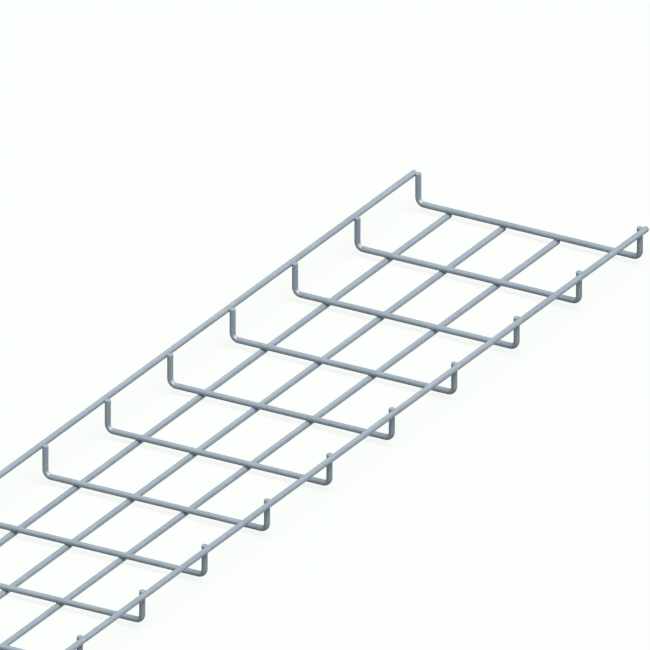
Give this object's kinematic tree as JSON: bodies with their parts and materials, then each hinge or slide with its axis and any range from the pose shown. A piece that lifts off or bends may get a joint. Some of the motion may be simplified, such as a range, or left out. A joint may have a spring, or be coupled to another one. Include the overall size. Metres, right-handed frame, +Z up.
{
  "type": "wire mesh cable basket",
  "caption": "Straight, shallow U-shaped basket of welded round wires: long floor and rim wires carried by bent cross wires, open at the top and both ends, for laying cables.",
  "frame": {"origin": "middle of the footprint, on the surface that the floor wires lie on", "axes": "+X across the basket, +Y along its length, +Z up out of the open top"},
  "size_m": [0.2196, 3, 0.035],
  "materials": {
    "zinc_plated_wire": "zinc-plated drawn steel wire, pale blue-grey, satin, with fine draw marks and duller welds"
  },
  "bodies": {
    "root": {"rim_wire_left": "zinc_plated_wire", "rim_wire_right": "zinc_plated_wire", "floor_wire_1": "zinc_plated_wire", "floor_wire_2": "zinc_plated_wire", "floor_wire_3": "zinc_plated_wire", "floor_wire_4": "zinc_plated_wire", "cross_wire_01": "zinc_plated_wire", "cross_wire_02": "zinc_plated_wire", "cross_wire_03": "zinc_plated_wire", "cross_wire_04": "zinc_plated_wire", "cross_wire_05": "zinc_plated_wire", "cross_wire_06": "zinc_plated_wire", "cross_wire_07": "zinc_plated_wire", "cross_wire_08": "zinc_plated_wire", "cross_wire_09": "zinc_plated_wire", "cross_wire_10": "zinc_plated_wire", "cross_wire_11": "zinc_plated_wire", "cross_wire_12": "zinc_plated_wire", "cross_wire_13": "zinc_plated_wire", "cross_wire_14": "zinc_plated_wire", "cross_wire_15": "zinc_plated_wire", "cross_wire_16": "zinc_plated_wire", "cross_wire_17": "zinc_plated_wire", "cross_wire_18": "zinc_plated_wire", "cross_wire_19": "zinc_plated_wire", "cross_wire_20": "zinc_plated_wire", "cross_wire_21": "zinc_plated_wire", "cross_wire_22": "zinc_plated_wire", "cross_wire_23": "zinc_plated_wire", "cross_wire_24": "zinc_plated_wire", "cross_wire_25": "zinc_plated_wire", "cross_wire_26": "zinc_plated_wire", "cross_wire_27": "zinc_plated_wire", "cross_wire_28": "zinc_plated_wire", "cross_wire_29": "zinc_plated_wire", "cross_wire_30": "zinc_plated_wire", "cross_wire_31": "zinc_plated_wire"}
  },
  "joints": []
}
